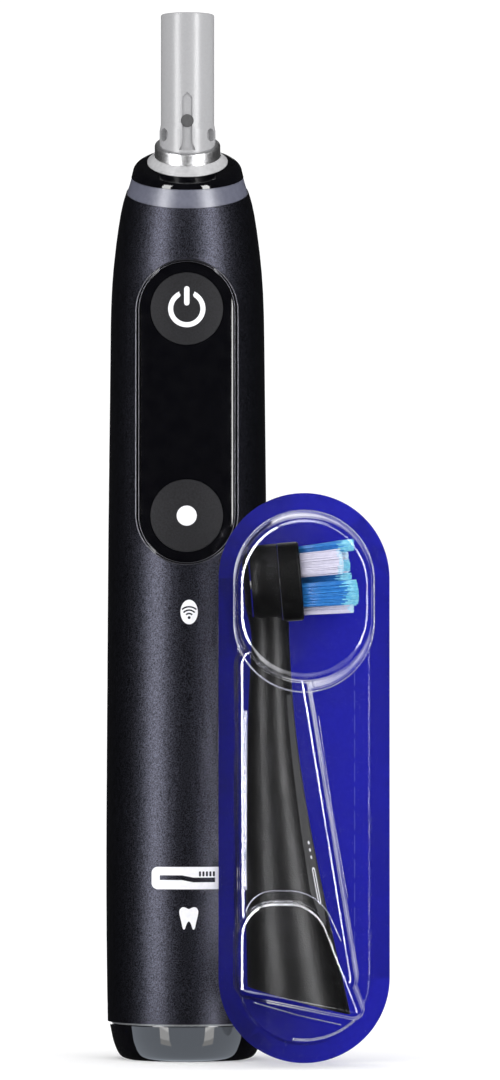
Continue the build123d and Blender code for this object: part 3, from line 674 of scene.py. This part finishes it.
# ---- drive springs: each coil a copy of its CAD part, riding on the handle ------------
for node, fixed in (("lower_spring", 0), ("upper_spring", 1)):
    ends = [corner.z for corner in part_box(node)]
    coil = add(node + "_coil", NODES[node].data.copy(), "handle")
    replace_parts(coil, node)
    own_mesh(coil)


# ---- stage -------------------------------------------------------------------
def quad(name, corners, mat):
    """One flat piece of the stage."""
    mesh = bpy.data.meshes.new(name)
    mesh.from_pydata(corners, [], [(0, 1, 2, 3)])
    mesh.materials.append(mat)
    obj = bpy.data.objects.new(name, mesh)
    bpy.context.collection.objects.link(obj)
    return obj


def level(left, right, near, far, z):
    return [(left, near, z), (right, near, z), (right, far, z), (left, far, z)]


def glow_look(name, strength, colour):
    mat = bpy.data.materials.new(name)
    mat.use_nodes = True
    mat.node_tree.nodes.clear()
    emit = mat.node_tree.nodes.new("ShaderNodeEmission")
    emit.inputs["Color"].default_value = (*colour, 1)
    emit.inputs["Strength"].default_value = strength
    out = mat.node_tree.nodes.new("ShaderNodeOutputMaterial")
    mat.node_tree.links.new(emit.outputs[0], out.inputs[0])
    return mat


def only_on(node):
    """A collection of one node, for lights that gleam on it and nothing else."""
    group = bpy.data.collections.new(node + "_only")
    group.objects.link(NODES[node])
    return group


film_only, cap_only = only_on("blister"), only_on("base_cap")


def reflector(name, corners, strength, colour=(1, 1, 1)):
    """A glowing piece under the floor, seen only in the gloss of the handle's foot."""
    obj = quad(name, corners, glow_look(name + "_look", strength, colour))
    obj.visible_camera = obj.visible_diffuse = obj.visible_shadow = obj.visible_transmission = False
    obj.light_linking.receiver_collection = cap_only


STRIP_START, STRIP_STEP = (0.0085, 0.019, 0.0026), (0.0036, 0.005, 0.0007)


def strip_end(side, step, z=-0.0028):
    """The corners across a reflector strip, which widens as it runs forwards and outwards from the foot."""
    out, ahead, half = [start + change * step for start, change in zip(STRIP_START, STRIP_STEP)]
    return [(side * out - half, -ahead, z), (side * out + half, -ahead, z)]


floor_look = finish("floor_look", (0.93, 0.93, 0.935), (0.95, 0.95, 0.955), (0.8, 0.9), 2,
                    Specular_IOR_Level=0.0, Emission_Color=(1, 1, 1, 1), Emission_Strength=0.12)
floor = quad("floor", level(-8, 8, -8, 8, 0), floor_look)
floor.visible_glossy = False
reflector("reflector", level(-0.06, 0.06, -0.06, -0.008, -0.003), 3.4, (0.8, 0.88, 1.0))
for side, mark in ((-1, "left"), (1, "right")):
    for k, strength in enumerate((5, 8, 12, 18, 24)):
        far_end = strip_end(side, k + 1)
        reflector(f"reflector_{mark}_{k}", strip_end(side, k) + far_end[::-1], strength)


def softbox(name, azimuth, distance, width, height, z, radiance, seen, aim=None):
    """An area light seen only as gloss or only as fill; azimuth 0 is in front and positive is to the right.

    It is level unless it is aimed at a height.
    """
    data = bpy.data.lights.new(name, "AREA")
    data.shape = "RECTANGLE"
    data.size, data.size_y = width, height
    data.energy = radiance * math.pi * width * height
    obj = bpy.data.objects.new(name, data)
    bpy.context.collection.objects.link(obj)
    a = math.radians(azimuth)
    obj.location = (distance * math.sin(a), -distance * math.cos(a), z)
    target = Vector((0, 0, z if aim is None else aim))
    obj.rotation_euler = (target - obj.location).to_track_quat("-Z", "Y").to_euler()
    obj.visible_diffuse = seen != "gloss"
    obj.visible_glossy = seen != "fill"
    return obj


MAIN_DISTANCE = 0.9
for name, azimuth, width, radiance in (("gloss_left", -45.5, 0.3, 16), ("gloss_right", 41.0, 0.25, 20)):
    softbox(name, azimuth, MAIN_DISTANCE, width, 1.7, 0.575, radiance, "gloss")
    softbox(name + "_top", azimuth, MAIN_DISTANCE, width, 0.1, 1.65, radiance, "gloss")
softbox("gloss_rear", 180, 1.2, 0.35, 1.2, 0.3, 1.5, "gloss")
above = softbox("gloss_above", 8, 0.35, 0.7, 0.3, 0.95, 8, "gloss", 0.05)
below = softbox("gloss_below", 8, 0.35, 1.2, 0.7, -0.4, 1.9, "gloss", 0.05)
above.light_linking.receiver_collection = below.light_linking.receiver_collection = film_only
softbox("fill_left", -40, 1.0, 0.5, 0.8, 0.3, 0.6, "fill")
softbox("fill_right", 40, 1.0, 0.5, 0.8, 0.3, 2.5, "fill")

# ---- world: bright for diffuse surfaces and nearly black for glossy ones --------------
WORLD_DIFFUSE, WORLD_GLOSSY = 1.1, 0.02
world = bpy.data.worlds.new("studio")
bpy.context.scene.world = world
world.use_nodes = True
tree = world.node_tree
background, path = tree.nodes["Background"], tree.nodes.new("ShaderNodeLightPath")
background.inputs["Color"].default_value = (1, 1, 1, 1)
strength = ranged(tree, path.outputs["Is Glossy Ray"], (0.0, 1.0), (WORLD_DIFFUSE, WORLD_GLOSSY))
tree.links.new(strength, background.inputs["Strength"])
bpy.context.scene.view_settings.view_transform = "Standard"

# ---- camera ------------------------------------------------------------------------------
CAMERA_PLACE, CAMERA_RISE = (0.01135, -1.15, 0.068), 1.2864
SENSOR_WIDTH, FOCAL_LENGTH = 36, 211.4
data = bpy.data.cameras.new("camera")
data.sensor_width, data.lens = SENSOR_WIDTH, FOCAL_LENGTH
data.clip_start, data.clip_end = 0.05, 30
camera = bpy.data.objects.new("camera", data)
bpy.context.collection.objects.link(camera)
camera.location = CAMERA_PLACE
camera.rotation_euler = (math.radians(90 + CAMERA_RISE), 0, 0)
bpy.context.scene.camera = camera
